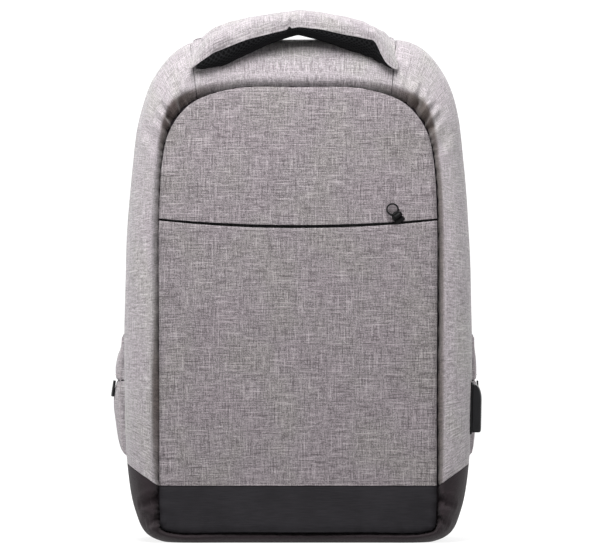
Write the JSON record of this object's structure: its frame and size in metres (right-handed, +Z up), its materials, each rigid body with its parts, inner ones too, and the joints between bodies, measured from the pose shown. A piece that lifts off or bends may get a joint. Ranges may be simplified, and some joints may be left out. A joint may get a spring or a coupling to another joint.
{
  "type": "anti-theft backpack",
  "caption": "Upright padded backpack with an arched front panel, zipped front pocket, black base, carrying handle, shoulder straps, side pockets and a charging port.",
  "frame": {"origin": "centre of the flat base, on the ground", "axes": "+Z up, -Y towards the front panel, +X to the viewer's right of the front"},
  "size_m": [0.3223, 0.1979, 0.4534],
  "materials": {
    "grey_heather_cloth": "woven grey melange polyester with slubs",
    "black_cloth": "close woven black polyester",
    "black_air_mesh": "black spacer mesh with open cells",
    "black_webbing": "black ribbed webbing and zip tape",
    "black_plastic": "black moulded plastic, lightly textured",
    "black_zip_metal": "black coated zip metal"
  },
  "bodies": {
    "bag": {"gusset_left": "grey_heather_cloth", "gusset_right": "grey_heather_cloth", "gusset_top": "grey_heather_cloth", "front_panel": "grey_heather_cloth", "front_pocket": "grey_heather_cloth", "handle_cover": "grey_heather_cloth", "strap_cover_left": "grey_heather_cloth", "strap_cover_right": "grey_heather_cloth", "side_pocket_left": "grey_heather_cloth", "side_pocket_right": "grey_heather_cloth", "side_flap_left": "grey_heather_cloth", "side_flap_right": "grey_heather_cloth", "base_boot": "black_cloth", "front_base": "black_cloth", "back_panel": "black_cloth", "tab_left": "black_cloth", "tab_right": "black_cloth", "back_pad_left": "black_air_mesh", "back_pad_right": "black_air_mesh", "back_pad_lumbar": "black_air_mesh", "handle_lining": "black_air_mesh", "strap_lining_left": "black_air_mesh", "strap_lining_right": "black_air_mesh", "front_zip": "black_webbing", "main_zip": "black_webbing", "side_zip_left": "black_webbing", "side_zip_right": "black_webbing", "strap_loop_left": "black_webbing", "strap_loop_right": "black_webbing", "webbing_left": "black_webbing", "webbing_right": "black_webbing", "adjuster_left": "black_plastic", "adjuster_right": "black_plastic", "side_pull_left": "black_plastic", "side_pull_right": "black_plastic", "port_flange": "black_plastic", "usb_port": "black_plastic", "zip_slider": "black_zip_metal", "main_slider_upper": "black_zip_metal", "main_slider_lower": "black_zip_metal"},
    "pull": {"zip_pull": "black_zip_metal"}
  },
  "joints": [
    {"name": "front_pull_hinge", "type": "hinge", "parent": "bag", "child": "pull", "pos_m": [0.08379, -0.06249, 0.27755], "axis": [0.8216, 0.1336, 0.5542], "range_deg": [0, 150]}
  ]
}
